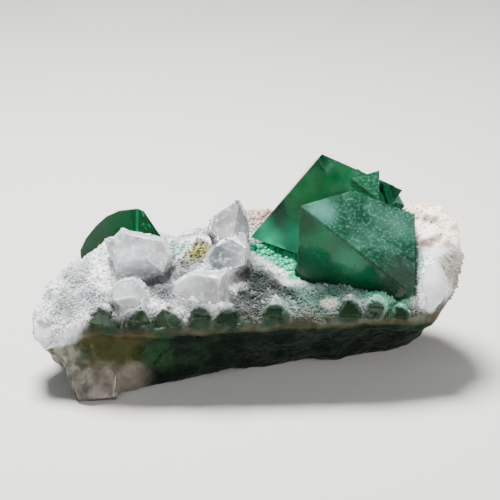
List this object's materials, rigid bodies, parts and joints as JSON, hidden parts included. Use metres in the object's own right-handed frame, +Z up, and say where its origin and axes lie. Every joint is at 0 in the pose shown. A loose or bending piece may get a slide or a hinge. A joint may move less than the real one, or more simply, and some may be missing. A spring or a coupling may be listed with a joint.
{
  "type": "fluorite specimen",
  "caption": "Mineral specimen: large green octahedral fluorite crystals and milky quartz crystals seated in a druse-covered quartz slab with a seam of small fluorites.",
  "frame": {"origin": "middle of the specimen's box at the level of its flat-cut base", "axes": "+X along the specimen towards the end with the large fluorite crystals, +Y towards the back, +Z up"},
  "size_m": [0.124, 0.0636, 0.0618],
  "materials": {
    "druse_rock": "drusy",
    "green_fluorite": "polished",
    "milky_quartz": "satin",
    "seam_fluorite": "satin"
  },
  "bodies": {
    "root": {"quartz_matrix": "druse_rock", "large_fluorite_cluster": "green_fluorite", "left_fluorite_crystal": "green_fluorite", "large_quartz_crystal": "milky_quartz", "small_quartz_crystal": "milky_quartz", "quartz_block": "milky_quartz", "middle_quartz_crystals": "milky_quartz", "left_end_quartz_crystal": "milky_quartz", "lower_left_quartz_root": "milky_quartz", "right_quartz_crystal": "milky_quartz", "seam_fluorite_1": "seam_fluorite", "seam_fluorite_2": "seam_fluorite", "seam_fluorite_3": "seam_fluorite", "seam_fluorite_4": "seam_fluorite", "seam_fluorite_5": "seam_fluorite", "seam_fluorite_6": "seam_fluorite", "seam_fluorite_7": "seam_fluorite", "seam_fluorite_8": "seam_fluorite", "seam_fluorite_9": "seam_fluorite"}
  },
  "joints": []
}
